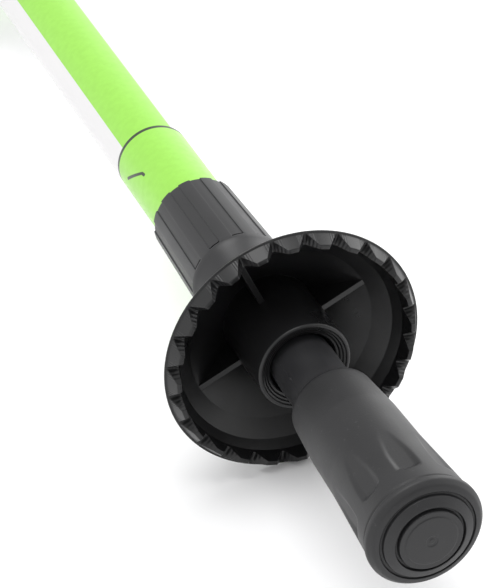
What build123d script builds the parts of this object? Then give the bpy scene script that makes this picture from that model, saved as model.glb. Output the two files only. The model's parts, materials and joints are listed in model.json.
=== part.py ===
"""Telescopic trekking pole with a toothed basket and a rubber walking foot, lying on a level floor.

The pole lies along Y with its tip towards -Y. Every piece is placed by its station: the distance
along the pole's axis from the plane of the basket's rim, positive towards the tip.
The basket's rim and the nose of the grip rest on the floor, Z = 0.
"""
import os
from math import pi, tan

from build123d import *

# ---- Driving dimensions, in millimetres ----
# Clearances
slide_gap = 0.3         # radial gap between nested tubes, sleeves and the collars that guide them
turn_gap = 0.3          # radial gap of the basket's hub on the neck
thread_gap = 0.1        # radial gap between a spindle and the nut or sleeve that rides on it
stop_gap = 0.5          # end gap beside each lock sleeve

# Tubes and collars
tube_wall = 0.7
lower_tube_od = 16.0
lower_exposed = 134.0   # lower tube in the open, from the ferrule to the middle collar
lower_hidden = 187.0    # lower tube inside the middle one
middle_exposed = 24.0   # middle tube in the open, between the two collars
upper_exposed = 150.0   # upper tube in the open, below the grip
collar_wall = 1.4
collar_lip = 3.0        # how far a collar reaches past the tube that it sits on
middle_collar_length = 16.0
upper_collar_length = 26.0
collar_grooves = 4
groove_depth = 0.4
groove_width = 1.2
groove_pitch = 3.9

# Twist locks
spindle_r = 2.5
spindle_head_r = 4.2
spindle_head = 2.0
plug_depth = 10.0
plug_flange = 2.0
sleeve_length = 24.0
sleeve_wall = 1.5
sleeve_land = 6.0       # plain bored end of the sleeve, past its taper
sleeve_throat = 1.05    # how far the taper's small end stands off the spindle's bore
nut_start = 4.5         # how deep the nut sits in the taper
nut_length = 9.0
slit_width = 1.2
slit_count = 3

# Flexible tip: fluted ferrule, neck and nose in one moulding
ferrule_back = 27.0     # from the rim plane back to the foot of the flutes
ferrule_length = 25.5
ferrule_wall = 1.2      # over the tube at the ferrule's top
ferrule_flare = 0.75    # extra radius at the foot of the flutes
flute_count = 12
flute_width = 2.4
flute_depth = 0.45
tube_socket = 20.0
neck_r = 6.1
neck_clear = 2.0        # bare neck between the ferrule's cone and the back of the hub
neck_end = 31.0
bead_height = 0.5       # snap bead that holds the basket
bead_width = 1.2
bead_station = -8.0
seam_width = 0.3
seam_height = 0.12
seam_angle = 154        # from the world's X towards Z, degrees
nose_step = 2.1         # how much thinner the nose is than the neck
nose_end = 43.0
holder_seat = 1.0       # straight stretch of the nose above the tip holder
holder_length = 4.5
holder_wall = 0.5
carbide_r = 2.0
carbide_out = 4.0
carbide_depth = 12.0

# Basket
rim_r = 25.8
rim_lip = 0.4           # plain edge outside the teeth
rim_thickness = 0.6
tooth_count = 24
tooth_height = 2.7
tooth_lean = 1.2        # how far the teeth's outer faces lean inwards
tooth_land = 0.9        # radial width of the teeth's tops
notch_half_width = 2.1
notch_floor = 0.2
step_inset = 7.2        # from the rim's outside to the step in the dish
dish_step_depth = 5.6
wall_foot_inset = 4.15  # from the rim's outside to where the wall under the teeth turns into the dish
wall_foot_depth = 2.7
wall_top_depth = 0.6
wall_taper = 0.4        # how far that wall leans in from the teeth
dish_slope = 37.0       # degrees
dish_floor = 1.6        # least thickness of the dish at the hub
hub_wall = 2.9
hub_front = 6.1         # station of the hub's open mouth
hub_edge = 0.3          # chamfer round the mouth's outside
hub_land = 0.6          # flat ring of the mouth
hub_funnel = 0.9
funnel_seat = 0.6       # small chamfer at the funnel's foot
funnel_seat_r = 0.4
hub_skirt = 0.8         # how far the hub's back end stands past the hub
rib_count = 4
rib_width = 1.2
rib_sink = 0.8
rib_angle = 26.1        # from the world's X towards Z, degrees
notch_angle = 10.2
flute_angle = 1.5
groove_half_width = 1.0

# Rubber foot
boot_top = 19.0
boot_grip = 0.08        # radial gap between the foot's socket and the neck
boot_wall = 2.0         # rubber round the neck at the foot's top
boot_round = 2.4        # rounding of the foot's top edge
shoulder_length = 6.0
shoulder_swell = 0.5
waist_start = 11.0      # from the foot's top
waist_end = 21.0
waist_swell = 0.9       # how far the waist stands past the foot's top
waist_taper = 0.3
flare_swell = 1.4      # how far the flare stands past the waist
flare_step = 0.35
lip_swell = 0.5        # how far the lip stands past the flare
flare_back = 4.6        # from the sole's edge back to the flare's end
flare_run = 0.5
lip_back = 3.4         # from the sole's edge back to the lip's two ends and the end of its bevel
lip_edge = 1.8
lip_bevel = 1.2
lip_taper = 0.5
sole_thickness = 11.5   # rubber under the washer
sole_rings = ((2.25, 0.4, 0.7), (4.7, 0.4, 1.3))   # inset from the lip, half width and depth of the grooves
ring_back = 0.5         # the outer groove lies this far behind the sole's edge
sole_rise = 1.7         # how far the sole's middle stands past its edge
pocket_count = 8
pocket_angle = 94.5     # from the world's X towards Z, degrees
pocket_width = 3.7
pocket_length = 11.5
pocket_floor = 0.3      # how far the pocket's floor stands past the waist
pocket_back = 2.4       # from the flare's end back to the pockets
well_gap = 1.2          # round the nose, inside the foot
socket_run = 0.5
washer_thickness = 1.5
washer_gap = 1.0        # between the carbide point and the washer

# Grip
grip_length = 134.0     # rubber handle
head_length = 37.0
grip_ring_length = 7.0
grip_wall = 3.6         # least rubber over the upper tube
ring_edge = 1.6
tube_inset = 2.0        # how far the upper tube stops short of the handle's end
lock_clear = 3.0        # between the stowed middle lock and the upper tube's end
heel_clear = 1.4        # height of the handle's heel over the floor
heel_side = 3.4
heel_drop = 3.2
nose_drop = 4.5         # how far the head's middle lies under the pole's axis
nose_overhang = 1.6     # trimmed off the head's underside where it rests on the floor
head_round = 2.5
inlay_r = 6.5
inlay_thickness = 1.2

# ---- Sizes that follow ----
lower_r = lower_tube_od / 2
middle_r = lower_r + slide_gap + tube_wall
upper_r = middle_r + slide_gap + tube_wall
nose_r = neck_r - nose_step
hub_bore_r = neck_r + turn_gap
hub_r = hub_bore_r + hub_wall
dish_step_r = rim_r - step_inset
socket_r = neck_r + boot_grip
handle_r = upper_r + grip_wall
axis_height = rim_r

slope = tan(dish_slope * pi / 180)
floor_depth = dish_step_depth + (dish_step_r - hub_r) * slope
hub_back = -floor_depth - dish_floor
neck_start = hub_back - neck_clear
ferrule_end = -ferrule_back
ferrule_top = ferrule_end - ferrule_length
lower_foot = ferrule_top + tube_socket
middle_foot = ferrule_top - lower_exposed
upper_foot = middle_foot - middle_collar_length - middle_exposed
lower_top = middle_foot - lower_hidden
lock_length = plug_flange + 2 * stop_gap + sleeve_length + spindle_head
middle_lift = upper_collar_length + upper_exposed
grip_foot = upper_foot - middle_lift
grip_top = grip_foot - grip_length
head_top = grip_top - head_length
tube_top = grip_top + tube_inset
middle_top = tube_top + lock_length + lock_clear

point_station = nose_end + carbide_out
washer_foot = point_station + washer_gap
socket_end = washer_foot + washer_thickness
boot_end = socket_end + sole_thickness

pole_length = sole_rise + boot_end - head_top
rim_y = (sole_rise + boot_end + head_top) / 2

PROFILE = Plane(origin=(0, rim_y, axis_height), x_dir=(1, 0, 0), z_dir=(0, 0, -1))
POLE_AXIS = Axis((0, rim_y, axis_height), (0, -1, 0))


def across(station):
    """Plane across the pole at a station, facing the tip: its x is the world's X, its y the world's Z."""
    return Plane(origin=(0, rim_y - station, axis_height), x_dir=(1, 0, 0), z_dir=(0, -1, 0))


def outline(corners):
    """Face in the plane through the axis, from corners given as (radius, station)."""
    with BuildSketch(PROFILE) as face:
        with BuildLine():
            Polyline(*corners, close=True)
        make_face()
    return face.sketch


def tube_outline(inner, outer, start, end):
    return outline([(inner, start), (outer, start), (outer, end), (inner, end)])


def finish(piece, label):
    """Name a piece and write its file."""
    piece.part.label = label
    export_step(piece.part, f"parts/{label}.step")
    print(f"{label:16s} {piece.part.volume / 1000:8.2f} cm3")


os.makedirs("parts", exist_ok=True)

# ---- Upper section: tube, collar, grip ----
with BuildPart() as upper_tube:
    revolve(tube_outline(upper_r - tube_wall, upper_r, upper_foot - collar_lip, tube_top), axis=POLE_AXIS)
finish(upper_tube, "upper_tube")

with BuildPart() as upper_collar:
    collar_r = upper_r + collar_wall
    collar_top = upper_foot - upper_collar_length
    revolve(
        outline([
            (middle_r + slide_gap, upper_foot),
            (collar_r, upper_foot),
            (collar_r, collar_top),
            (upper_r, collar_top),
            (upper_r, upper_foot - collar_lip),
            (middle_r + slide_gap, upper_foot - collar_lip),
        ]),
        axis=POLE_AXIS,
    )
    outer_edges = upper_collar.edges().filter_by(GeomType.CIRCLE).group_by(SortBy.RADIUS)[-1]
    chamfer(outer_edges, length=collar_wall / 2)
    for ring in range(collar_grooves):
        ring_top = upper_foot - 2 * groove_pitch - ring * groove_pitch - groove_width / 2
        revolve(
            tube_outline(collar_r - groove_depth, collar_r + 1, ring_top, ring_top + groove_width),
            axis=POLE_AXIS,
            mode=Mode.SUBTRACT,
        )
finish(upper_collar, "upper_collar")

with BuildPart() as grip_ring:
    revolve(tube_outline(upper_r, handle_r, grip_foot, grip_foot + grip_ring_length), axis=POLE_AXIS)
    ring_edges = grip_ring.edges().filter_by(GeomType.CIRCLE).group_by(SortBy.RADIUS)[-1]
    chamfer(ring_edges.sort_by(Axis.Y)[0], length=ring_edge)
finish(grip_ring, "grip_ring")

# Handle sections: share of the length, side and up-down half widths over the least rubber, drop
heel_rise = axis_height - handle_r - heel_drop - heel_clear
handle_shape = (
    (0.00, 2.6, 3.2, 0.0),
    (0.04, 2.4, 3.0, 0.0),
    (0.10, 0.6, 1.4, 0.4),
    (0.22, 0.9, 2.6, 0.9),
    (0.33, 0.4, 1.5, 0.5),
    (0.45, 1.1, 3.0, 1.1),
    (0.56, 0.6, 1.8, 0.6),
    (0.68, 1.3, 3.2, 1.2),
    (0.79, 0.8, 2.2, 0.8),
    (0.90, 1.8, 4.6, 2.0),
    (1.00, heel_side, heel_rise, heel_drop),
)

with BuildPart() as grip_handle:
    for share, side, rise, drop in handle_shape:
        with BuildSketch(across(grip_foot - share * grip_length)):
            with Locations((0, -drop)):
                Ellipse(handle_r + side, handle_r + rise)
    loft()
    revolve(tube_outline(0, upper_r, grip_foot + 1, tube_top), axis=POLE_AXIS, mode=Mode.SUBTRACT)
finish(grip_handle, "grip_handle")

# Head: the nose reaches past the floor and is trimmed flat where it rests
nose_half = axis_height + nose_overhang - nose_drop
heel_half = handle_r + heel_rise
head_side = handle_r + heel_side
end_side = inlay_r + head_round + 1.0
head_shape = (
    (0.00, head_side, heel_half, heel_drop),
    (0.30, head_side + 1.6, (heel_half + nose_half) / 2 + 1, (heel_drop + nose_drop) / 2),
    (0.58, head_side + 1.8, nose_half, nose_drop),
    (0.84, end_side + 6.8, nose_half - 3.0, nose_drop - 1.2),
    (1.00, end_side, end_side + 1.9, nose_drop - 2.4),
)
end_drop = head_shape[-1][3]

with BuildPart() as grip_head:
    for share, side, rise, drop in head_shape:
        with BuildSketch(across(grip_top - share * head_length)):
            with Locations((0, -drop)):
                Ellipse(side, rise)
    loft()
    fillet(grip_head.faces().sort_by(Axis.Y)[-1].edges(), radius=head_round)
    with BuildSketch(across(head_top)):
        with Locations((0, -end_drop)):
            Circle(inlay_r)
    extrude(amount=inlay_thickness, mode=Mode.SUBTRACT)
    split(bisect_by=Plane.XY, keep=Keep.TOP)
finish(grip_head, "grip_head")

with BuildPart() as head_inlay:
    with BuildSketch(across(head_top)):
        with Locations((0, -end_drop)):
            Circle(inlay_r)
    extrude(amount=inlay_thickness)
finish(head_inlay, "head_inlay")


# ---- Twist locks ----
def lock_pieces(name, inner_r, outer_bore, top):
    """Plug, spindle, taper nut and expander sleeve at the top of a tube, riding in the tube outside it."""
    flange_top = top - plug_flange
    sleeve_foot = flange_top - stop_gap
    sleeve_top = sleeve_foot - sleeve_length
    sleeve_r = outer_bore - slide_gap
    mouth_r = sleeve_r - sleeve_wall
    bore_r = spindle_r + thread_gap
    throat_r = bore_r + sleeve_throat
    taper_depth = sleeve_length - sleeve_land
    taper = (mouth_r - throat_r) / taper_depth
    nut_foot = sleeve_foot - nut_start - stop_gap
    nut_r = mouth_r - taper * (nut_start + stop_gap) - slide_gap

    with BuildPart() as plug:
        revolve(
            outline([
                (spindle_r, top + plug_depth),
                (inner_r - tube_wall, top + plug_depth),
                (inner_r - tube_wall, top),
                (inner_r, top),
                (inner_r, flange_top),
                (spindle_r, flange_top),
            ]),
            axis=POLE_AXIS,
        )
    finish(plug, f"{name}_plug")

    with BuildPart() as spindle:
        head_foot = sleeve_top - stop_gap
        revolve(
            outline([
                (0, top + plug_depth),
                (spindle_r, top + plug_depth),
                (spindle_r, head_foot),
                (spindle_head_r, head_foot),
                (spindle_head_r, head_foot - spindle_head),
                (0, head_foot - spindle_head),
            ]),
            axis=POLE_AXIS,
        )
    finish(spindle, f"{name}_spindle")

    with BuildPart() as nut:
        revolve(
            outline([
                (bore_r, nut_foot),
                (nut_r, nut_foot),
                (nut_r - taper * nut_length, nut_foot - nut_length),
                (bore_r, nut_foot - nut_length),
            ]),
            axis=POLE_AXIS,
        )
    finish(nut, f"{name}_nut")

    with BuildPart(across(sleeve_foot)) as sleeve:
        revolve(
            outline([
                (mouth_r, sleeve_foot),
                (sleeve_r, sleeve_foot),
                (sleeve_r, sleeve_top),
                (bore_r, sleeve_top),
                (bore_r, sleeve_top + sleeve_land),
                (throat_r, sleeve_top + sleeve_land),
            ]),
            axis=POLE_AXIS,
        )
        with PolarLocations(sleeve_r, slit_count):
            Box(
                2 * sleeve_r - 2 * spindle_r,
                slit_width,
                2 * taper_depth - 2,
                mode=Mode.SUBTRACT,
            )
    finish(sleeve, f"{name}_sleeve")


lock_pieces("middle", middle_r, upper_r - tube_wall, middle_top)
lock_pieces("lower", lower_r, middle_r - tube_wall, lower_top)

# ---- Middle section ----
with BuildPart() as middle_tube:
    revolve(
        tube_outline(middle_r - tube_wall, middle_r, middle_foot - collar_lip, middle_top),
        axis=POLE_AXIS,
    )
finish(middle_tube, "middle_tube")

with BuildPart() as middle_collar:
    collar_r = middle_r + collar_wall
    collar_top = middle_foot - middle_collar_length
    revolve(
        outline([
            (lower_r + slide_gap, middle_foot),
            (collar_r, middle_foot),
            (collar_r, collar_top),
            (middle_r, collar_top),
            (middle_r, middle_foot - collar_lip),
            (lower_r + slide_gap, middle_foot - collar_lip),
        ]),
        axis=POLE_AXIS,
    )
    outer_edges = middle_collar.edges().filter_by(GeomType.CIRCLE).group_by(SortBy.RADIUS)[-1]
    chamfer(outer_edges, length=collar_wall / 2)
finish(middle_collar, "middle_collar")

# ---- Lower section ----
with BuildPart() as lower_tube:
    revolve(tube_outline(lower_r - tube_wall, lower_r, lower_foot, lower_top), axis=POLE_AXIS)
finish(lower_tube, "lower_tube")

flute_top_r = lower_r + ferrule_wall
flute_foot_r = flute_top_r + ferrule_flare

# Flute cutter, upright on the XY plane, one at +X
with BuildPart() as flute_cutter:
    for height, edge_r in ((0, flute_foot_r), (-ferrule_length - 1, flute_top_r)):
        with BuildSketch(Plane.XY.offset(height)):
            with Locations((edge_r - flute_depth + 2, 0)):
                Rectangle(4, flute_width)
    loft()

with BuildPart(across(ferrule_end)) as flex_tip:
    revolve(
        outline([
            (0, ferrule_top + tube_socket),
            (lower_r, ferrule_top + tube_socket),
            (lower_r, ferrule_top),
            (flute_top_r, ferrule_top),
            (flute_foot_r, ferrule_end),
            (neck_r, neck_start),
            (neck_r, bead_station - bead_width),
            (neck_r + bead_height, bead_station - bead_width / 4),
            (neck_r + bead_height, bead_station + bead_width / 4),
            (neck_r, bead_station + bead_width),
            (neck_r, neck_end),
            (nose_r, nose_end - holder_length - holder_seat),
            (nose_r, nose_end - holder_length),
            (nose_r - holder_wall, nose_end - holder_length),
            (nose_r - holder_wall, nose_end),
            (carbide_r, nose_end),
            (carbide_r, nose_end - carbide_depth),
            (0, nose_end - carbide_depth),
        ]),
        axis=POLE_AXIS,
    )
    with PolarLocations(0, flute_count, start_angle=flute_angle):
        add(flute_cutter.part, mode=Mode.SUBTRACT)
    # Fine mould seam along the bare neck
    with BuildSketch(across(hub_front + 1)):
        with PolarLocations(neck_r, 1, start_angle=seam_angle):
            Rectangle(2 * seam_height, seam_width)
    extrude(amount=boot_top - hub_front - 1.5)
finish(flex_tip, "flex_tip")

with BuildPart() as tip_holder:
    revolve(tube_outline(nose_r - holder_wall, nose_r, nose_end - holder_length, nose_end), axis=POLE_AXIS)
finish(tip_holder, "tip_holder")

with BuildPart() as carbide_tip:
    revolve(
        outline([
            (0, nose_end - carbide_depth),
            (carbide_r, nose_end - carbide_depth),
            (carbide_r, nose_end + carbide_out),
            (0, nose_end + carbide_out - carbide_r / 2),
        ]),
        axis=POLE_AXIS,
    )
finish(carbide_tip, "carbide_tip")

# ---- Basket ----
tooth_base_r = rim_r - rim_lip
tooth_top_r = tooth_base_r - tooth_lean
tooth_inner_r = tooth_top_r - tooth_land
wall_foot_r = rim_r - wall_foot_inset

# Notch cutter, upright on the XY plane at +X: a V that opens towards the tip
with BuildPart() as notch_cutter:
    with BuildSketch(Plane.YZ.offset(dish_step_r)):
        with BuildLine():
            Polyline(
                (-notch_floor, 0),
                (notch_floor, 0),
                (2 * notch_half_width - notch_floor, 2 * tooth_height),
                (notch_floor - 2 * notch_half_width, 2 * tooth_height),
                close=True,
            )
        make_face()
    extrude(amount=rim_r - dish_step_r + 1)

# Rib from the hub to the step in the dish, upright at +X: level on top, its foot sunk into the slope
with BuildPart() as rib:
    with BuildSketch(Plane.XZ):
        with BuildLine():
            Polyline(
                (hub_r - rib_sink, -dish_step_depth),
                (dish_step_r + rib_sink, -dish_step_depth),
                (hub_r - rib_sink, -floor_depth - rib_sink),
                close=True,
            )
        make_face()
    extrude(amount=rib_width / 2, both=True)

with BuildPart(across(0)) as basket:
    revolve(
        outline([
            (hub_bore_r, hub_back),
            (hub_r + hub_skirt, hub_back),
            (rim_r - rim_thickness, -rim_thickness),
            (rim_r, -rim_thickness / 2),
            (rim_r, 0),
            (tooth_base_r, 0),
            (tooth_top_r, tooth_height),
            (tooth_inner_r, tooth_height),
            (tooth_inner_r - wall_taper, -wall_top_depth),
            (wall_foot_r, -wall_foot_depth),
            (dish_step_r, -dish_step_depth),
            (hub_r, -floor_depth),
            (hub_r, hub_front - hub_edge),
            (hub_r - hub_edge, hub_front),
            (hub_r - hub_edge - hub_land, hub_front),
            (hub_bore_r + funnel_seat_r, hub_front - hub_funnel),
            (hub_bore_r, hub_front - hub_funnel - funnel_seat),
        ]),
        axis=POLE_AXIS,
    )
    with PolarLocations(0, rib_count, start_angle=rib_angle):
        add(rib.part)
    # Groove in the bore over the neck's bead
    revolve(
        tube_outline(
            hub_bore_r - 1,
            hub_bore_r + bead_height,
            bead_station - groove_half_width,
            bead_station + groove_half_width,
        ),
        axis=POLE_AXIS,
        mode=Mode.SUBTRACT,
    )
    with PolarLocations(0, tooth_count, start_angle=notch_angle):
        add(notch_cutter.part, mode=Mode.SUBTRACT)
finish(basket, "basket")

# ---- Rubber foot ----
well_r = nose_r + well_gap
boot_r = socket_r + boot_wall
waist_r = boot_r + waist_swell
flare_r = waist_r + flare_swell
lip_r = flare_r + lip_swell
flare_end = boot_end - flare_back
outer_ring, inner_ring = sole_rings
ring_crests = (boot_end - ring_back, boot_end + sole_rise)

# Pocket cutter, upright on the XY plane at +X: flat floor, round top
with BuildPart() as pocket_cutter:
    with BuildSketch(Plane.YZ.offset(waist_r + pocket_floor)):
        with Locations((0, pocket_width / 4 - pocket_length / 2)):
            Rectangle(pocket_width, pocket_length - pocket_width / 2)
        with Locations((0, pocket_width / 2 - pocket_length)):
            Circle(pocket_width / 2)
    extrude(amount=flare_swell + lip_swell)

with BuildPart(across(flare_end - pocket_back)) as boot:
    revolve(
        outline([
            (socket_r, boot_top),
            (boot_r, boot_top),
            (boot_r + shoulder_swell, boot_top + shoulder_length),
            (waist_r, boot_top + waist_start),
            (waist_r + waist_taper, boot_top + waist_end),
            (flare_r, flare_end),
            (flare_r - flare_step, flare_end + flare_run),
            (lip_r, boot_end - lip_back),
            (lip_r, boot_end - lip_edge),
            (lip_r - lip_taper, boot_end - lip_bevel),
            (lip_r - outer_ring[0], ring_crests[0]),
            (lip_r - inner_ring[0], ring_crests[1]),
            (0, boot_end + sole_rise),
            (0, socket_end),
            (well_r, socket_end),
            (well_r, nose_end - holder_length),
            (socket_r, neck_end + socket_run),
        ]),
        axis=POLE_AXIS,
    )
    shoulder = boot.edges().filter_by(GeomType.CIRCLE).group_by(Axis.Y)[-1].sort_by(SortBy.RADIUS)[-1]
    fillet(shoulder, radius=min(boot_round, 0.9 * boot_wall))
    for (inset, half_width, depth), crest in zip(sole_rings, ring_crests):
        ring_r = lip_r - inset
        revolve(
            tube_outline(ring_r - half_width, ring_r + half_width, crest - depth, crest + sole_rise),
            axis=POLE_AXIS,
            mode=Mode.SUBTRACT,
        )
    with PolarLocations(0, pocket_count, start_angle=pocket_angle):
        add(pocket_cutter.part, mode=Mode.SUBTRACT)
finish(boot, "boot")

with BuildPart() as boot_washer:
    revolve(tube_outline(carbide_r / 2, well_r, washer_foot, socket_end), axis=POLE_AXIS)
finish(boot_washer, "boot_washer")

print(f"pole length {pole_length:.1f} mm, rim plane at y = {rim_y:.2f} mm, axis height {axis_height:.1f} mm")
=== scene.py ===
# %% [markdown]
# # A trekking pole on a studio floor
# This lesson dresses a finished CAD model of a telescopic trekking pole. The pole lies on its basket
# and on the nose of its grip, and the camera looks at the tip: a green and white tube, a fluted
# ferrule, a round basket with a crown of teeth, and a rubber foot pushed over the point.
#
# The CAD model says where everything is. Each cell below makes one piece or one finish in the same
# place and at the same size, and hands it to the body that carries it.

import json
from math import asin, cos, degrees, pi, radians, sin, sqrt, tan

import bmesh
import bpy
import numpy as np
from mathutils import Matrix, Vector


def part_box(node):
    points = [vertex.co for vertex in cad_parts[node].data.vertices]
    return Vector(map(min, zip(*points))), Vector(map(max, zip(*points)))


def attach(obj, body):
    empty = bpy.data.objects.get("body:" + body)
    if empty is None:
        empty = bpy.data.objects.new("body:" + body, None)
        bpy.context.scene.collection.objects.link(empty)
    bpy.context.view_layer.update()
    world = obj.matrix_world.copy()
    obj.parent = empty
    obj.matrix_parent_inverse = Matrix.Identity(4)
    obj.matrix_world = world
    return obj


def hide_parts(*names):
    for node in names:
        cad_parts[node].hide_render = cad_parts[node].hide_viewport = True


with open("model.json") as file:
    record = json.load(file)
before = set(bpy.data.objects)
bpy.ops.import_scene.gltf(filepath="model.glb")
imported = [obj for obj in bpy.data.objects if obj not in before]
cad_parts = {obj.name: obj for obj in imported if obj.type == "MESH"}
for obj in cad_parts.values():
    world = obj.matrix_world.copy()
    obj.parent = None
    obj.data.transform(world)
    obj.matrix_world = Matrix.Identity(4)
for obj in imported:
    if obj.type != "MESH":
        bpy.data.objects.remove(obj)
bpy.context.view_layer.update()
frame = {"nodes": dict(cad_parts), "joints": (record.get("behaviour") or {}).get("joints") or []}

# %% [markdown]
# ## Places on the pole
# A pole is round, so a point on it is easiest to say as a radius, an angle and a station. The angle
# runs from X towards Z. The station is the distance along the axis from the plane of the basket's
# rim, positive towards the point. The basket turns about that very place, so its joint gives it.

# %% Rim centre and stations
MM = 0.001
basket_turn = next(joint for joint in frame["joints"] if joint["name"] == "basket_turn")
RIM = Vector(basket_turn["pos_m"])


def station_span(node):
    """Stations of a CAD node's two ends, grip end first."""
    low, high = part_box(node)
    return RIM.y - high.y, RIM.y - low.y


print("rim centre", [round(value, 4) for value in RIM])

# %% [markdown]
# ## Camera
# A long lens from half a metre keeps the basket round and lets the tube shrink towards the back. The
# camera is placed by how far the rim's centre lies to the right of it, below it and in front of it.

# %% Camera
pitch, yaw = radians(32.55), radians(-21.27)
right = Vector((cos(yaw), sin(yaw), 0))
forward = Vector((-sin(yaw) * cos(pitch), cos(yaw) * cos(pitch), -sin(pitch)))
down = forward.cross(right)
rim_aim = RIM + Vector((0, 0, 0.2 * MM))

camera_data = bpy.data.cameras.new("camera")
camera_data.lens = 160.45
camera_data.sensor_width = 36
camera_data.clip_start = 0.01
camera = bpy.data.objects.new("camera", camera_data)
camera.location = rim_aim - 9.427 * MM * right - 10.461 * MM * down - 494.352 * MM * forward
camera.rotation_euler = (pi / 2 - pitch, 0, yaw)
bpy.context.scene.collection.objects.link(camera)
bpy.context.scene.camera = camera
print("camera at", [round(value, 3) for value in camera.location])

# %% [markdown]
# ## Floor and light
# The pole is lit as shops light their goods: on a white floor inside a white tent. The world stands
# for the tent, brighter on its roof and on two of its walls. One softbox hangs above and one stands
# behind to the right. The floor is nearly white, so only soft shadows beside the object are seen.

# %% Floor
scene = bpy.context.scene
scene.view_settings.view_transform = "Standard"

bpy.ops.mesh.primitive_plane_add(size=12, location=(0, 0, 0))
floor = bpy.context.object
floor.name = "floor"
floor_paint = bpy.data.materials.new("floor_paint")
floor_paint.use_nodes = True
floor_shader = floor_paint.node_tree.nodes["Principled BSDF"]
floor_shader.inputs["Base Color"].default_value = (0.93, 0.93, 0.935, 1)
floor_shader.inputs["Roughness"].default_value = 0.9
floor_shader.inputs["Specular IOR Level"].default_value = 0.1
floor.data.materials.append(floor_paint)

# %% Tent and softboxes
TENT_WALLS = (  # direction, how tight the bright patch is, strength
    ((0.0, 0.0, 1.0), 0.01, 0.7), ((1.0, 0.35, 0.3), 2.5, 1.0), ((-1.0, 0.2, 0.25), 2.5, 0.7))

world = bpy.data.worlds.new("tent")
scene.world = world
world.use_nodes = True
backdrop = world.node_tree.nodes["Background"]
backdrop.inputs["Color"].default_value = (1.0, 1.0, 1.0, 1)
direction = world.node_tree.nodes.new("ShaderNodeTexCoord").outputs["Generated"]


def world_math(operation, first, second):
    """Add a maths step to the world; the second value is a socket or a number."""
    node = world.node_tree.nodes.new("ShaderNodeMath")
    node.operation = operation
    world.node_tree.links.new(first, node.inputs[0])
    if isinstance(second, bpy.types.NodeSocket):
        world.node_tree.links.new(second, node.inputs[1])
    else:
        node.inputs[1].default_value = second
    return node.outputs[0]


def tent_wall(facing, power, strength):
    """Brightness that a wall of the tent adds, strongest in the direction that it faces."""
    lean = world.node_tree.nodes.new("ShaderNodeVectorMath")
    lean.operation = "DOT_PRODUCT"
    world.node_tree.links.new(direction, lean.inputs[0])
    lean.inputs[1].default_value = Vector(facing).normalized()
    towards = world_math("MAXIMUM", lean.outputs["Value"], 0.0)
    return world_math("MULTIPLY", world_math("POWER", towards, power), strength)


walls = [tent_wall(*wall) for wall in TENT_WALLS]
tent_glow = walls[0]
for wall in walls[1:]:
    tent_glow = world_math("ADD", tent_glow, wall)
world.node_tree.links.new(tent_glow, backdrop.inputs["Strength"])


def softbox(name, offset, size, power):
    """Square soft light, placed from the rim centre and turned to face it."""
    lamp_data = bpy.data.lights.new(name, "AREA")
    lamp_data.shape = "RECTANGLE"
    lamp_data.size, lamp_data.size_y = size, size
    lamp_data.energy = power
    lamp = bpy.data.objects.new(name, lamp_data)
    lamp.location = RIM + Vector(offset)
    lamp.rotation_euler = (RIM - lamp.location).to_track_quat("-Z", "Y").to_euler()
    scene.collection.objects.link(lamp)


softbox("top_softbox", (-0.18, 0.08, 1.1), 0.7, 6.0)
softbox("side_softbox", (0.95, 0.55, 0.6), 0.9, 5.0)
print("lights:", [light.name for light in bpy.data.lights])

# %% [markdown]
# ## Finishes
# Every finish is a small node tree. Patterns read Object coordinates: each piece's object sits at the
# origin, so those are plain world metres, and a grain keeps its real size on every piece. One small
# class keeps the trees short: each of its methods adds one step, such as a sum, a colour mix, a
# grain of noise or a bump.


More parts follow.
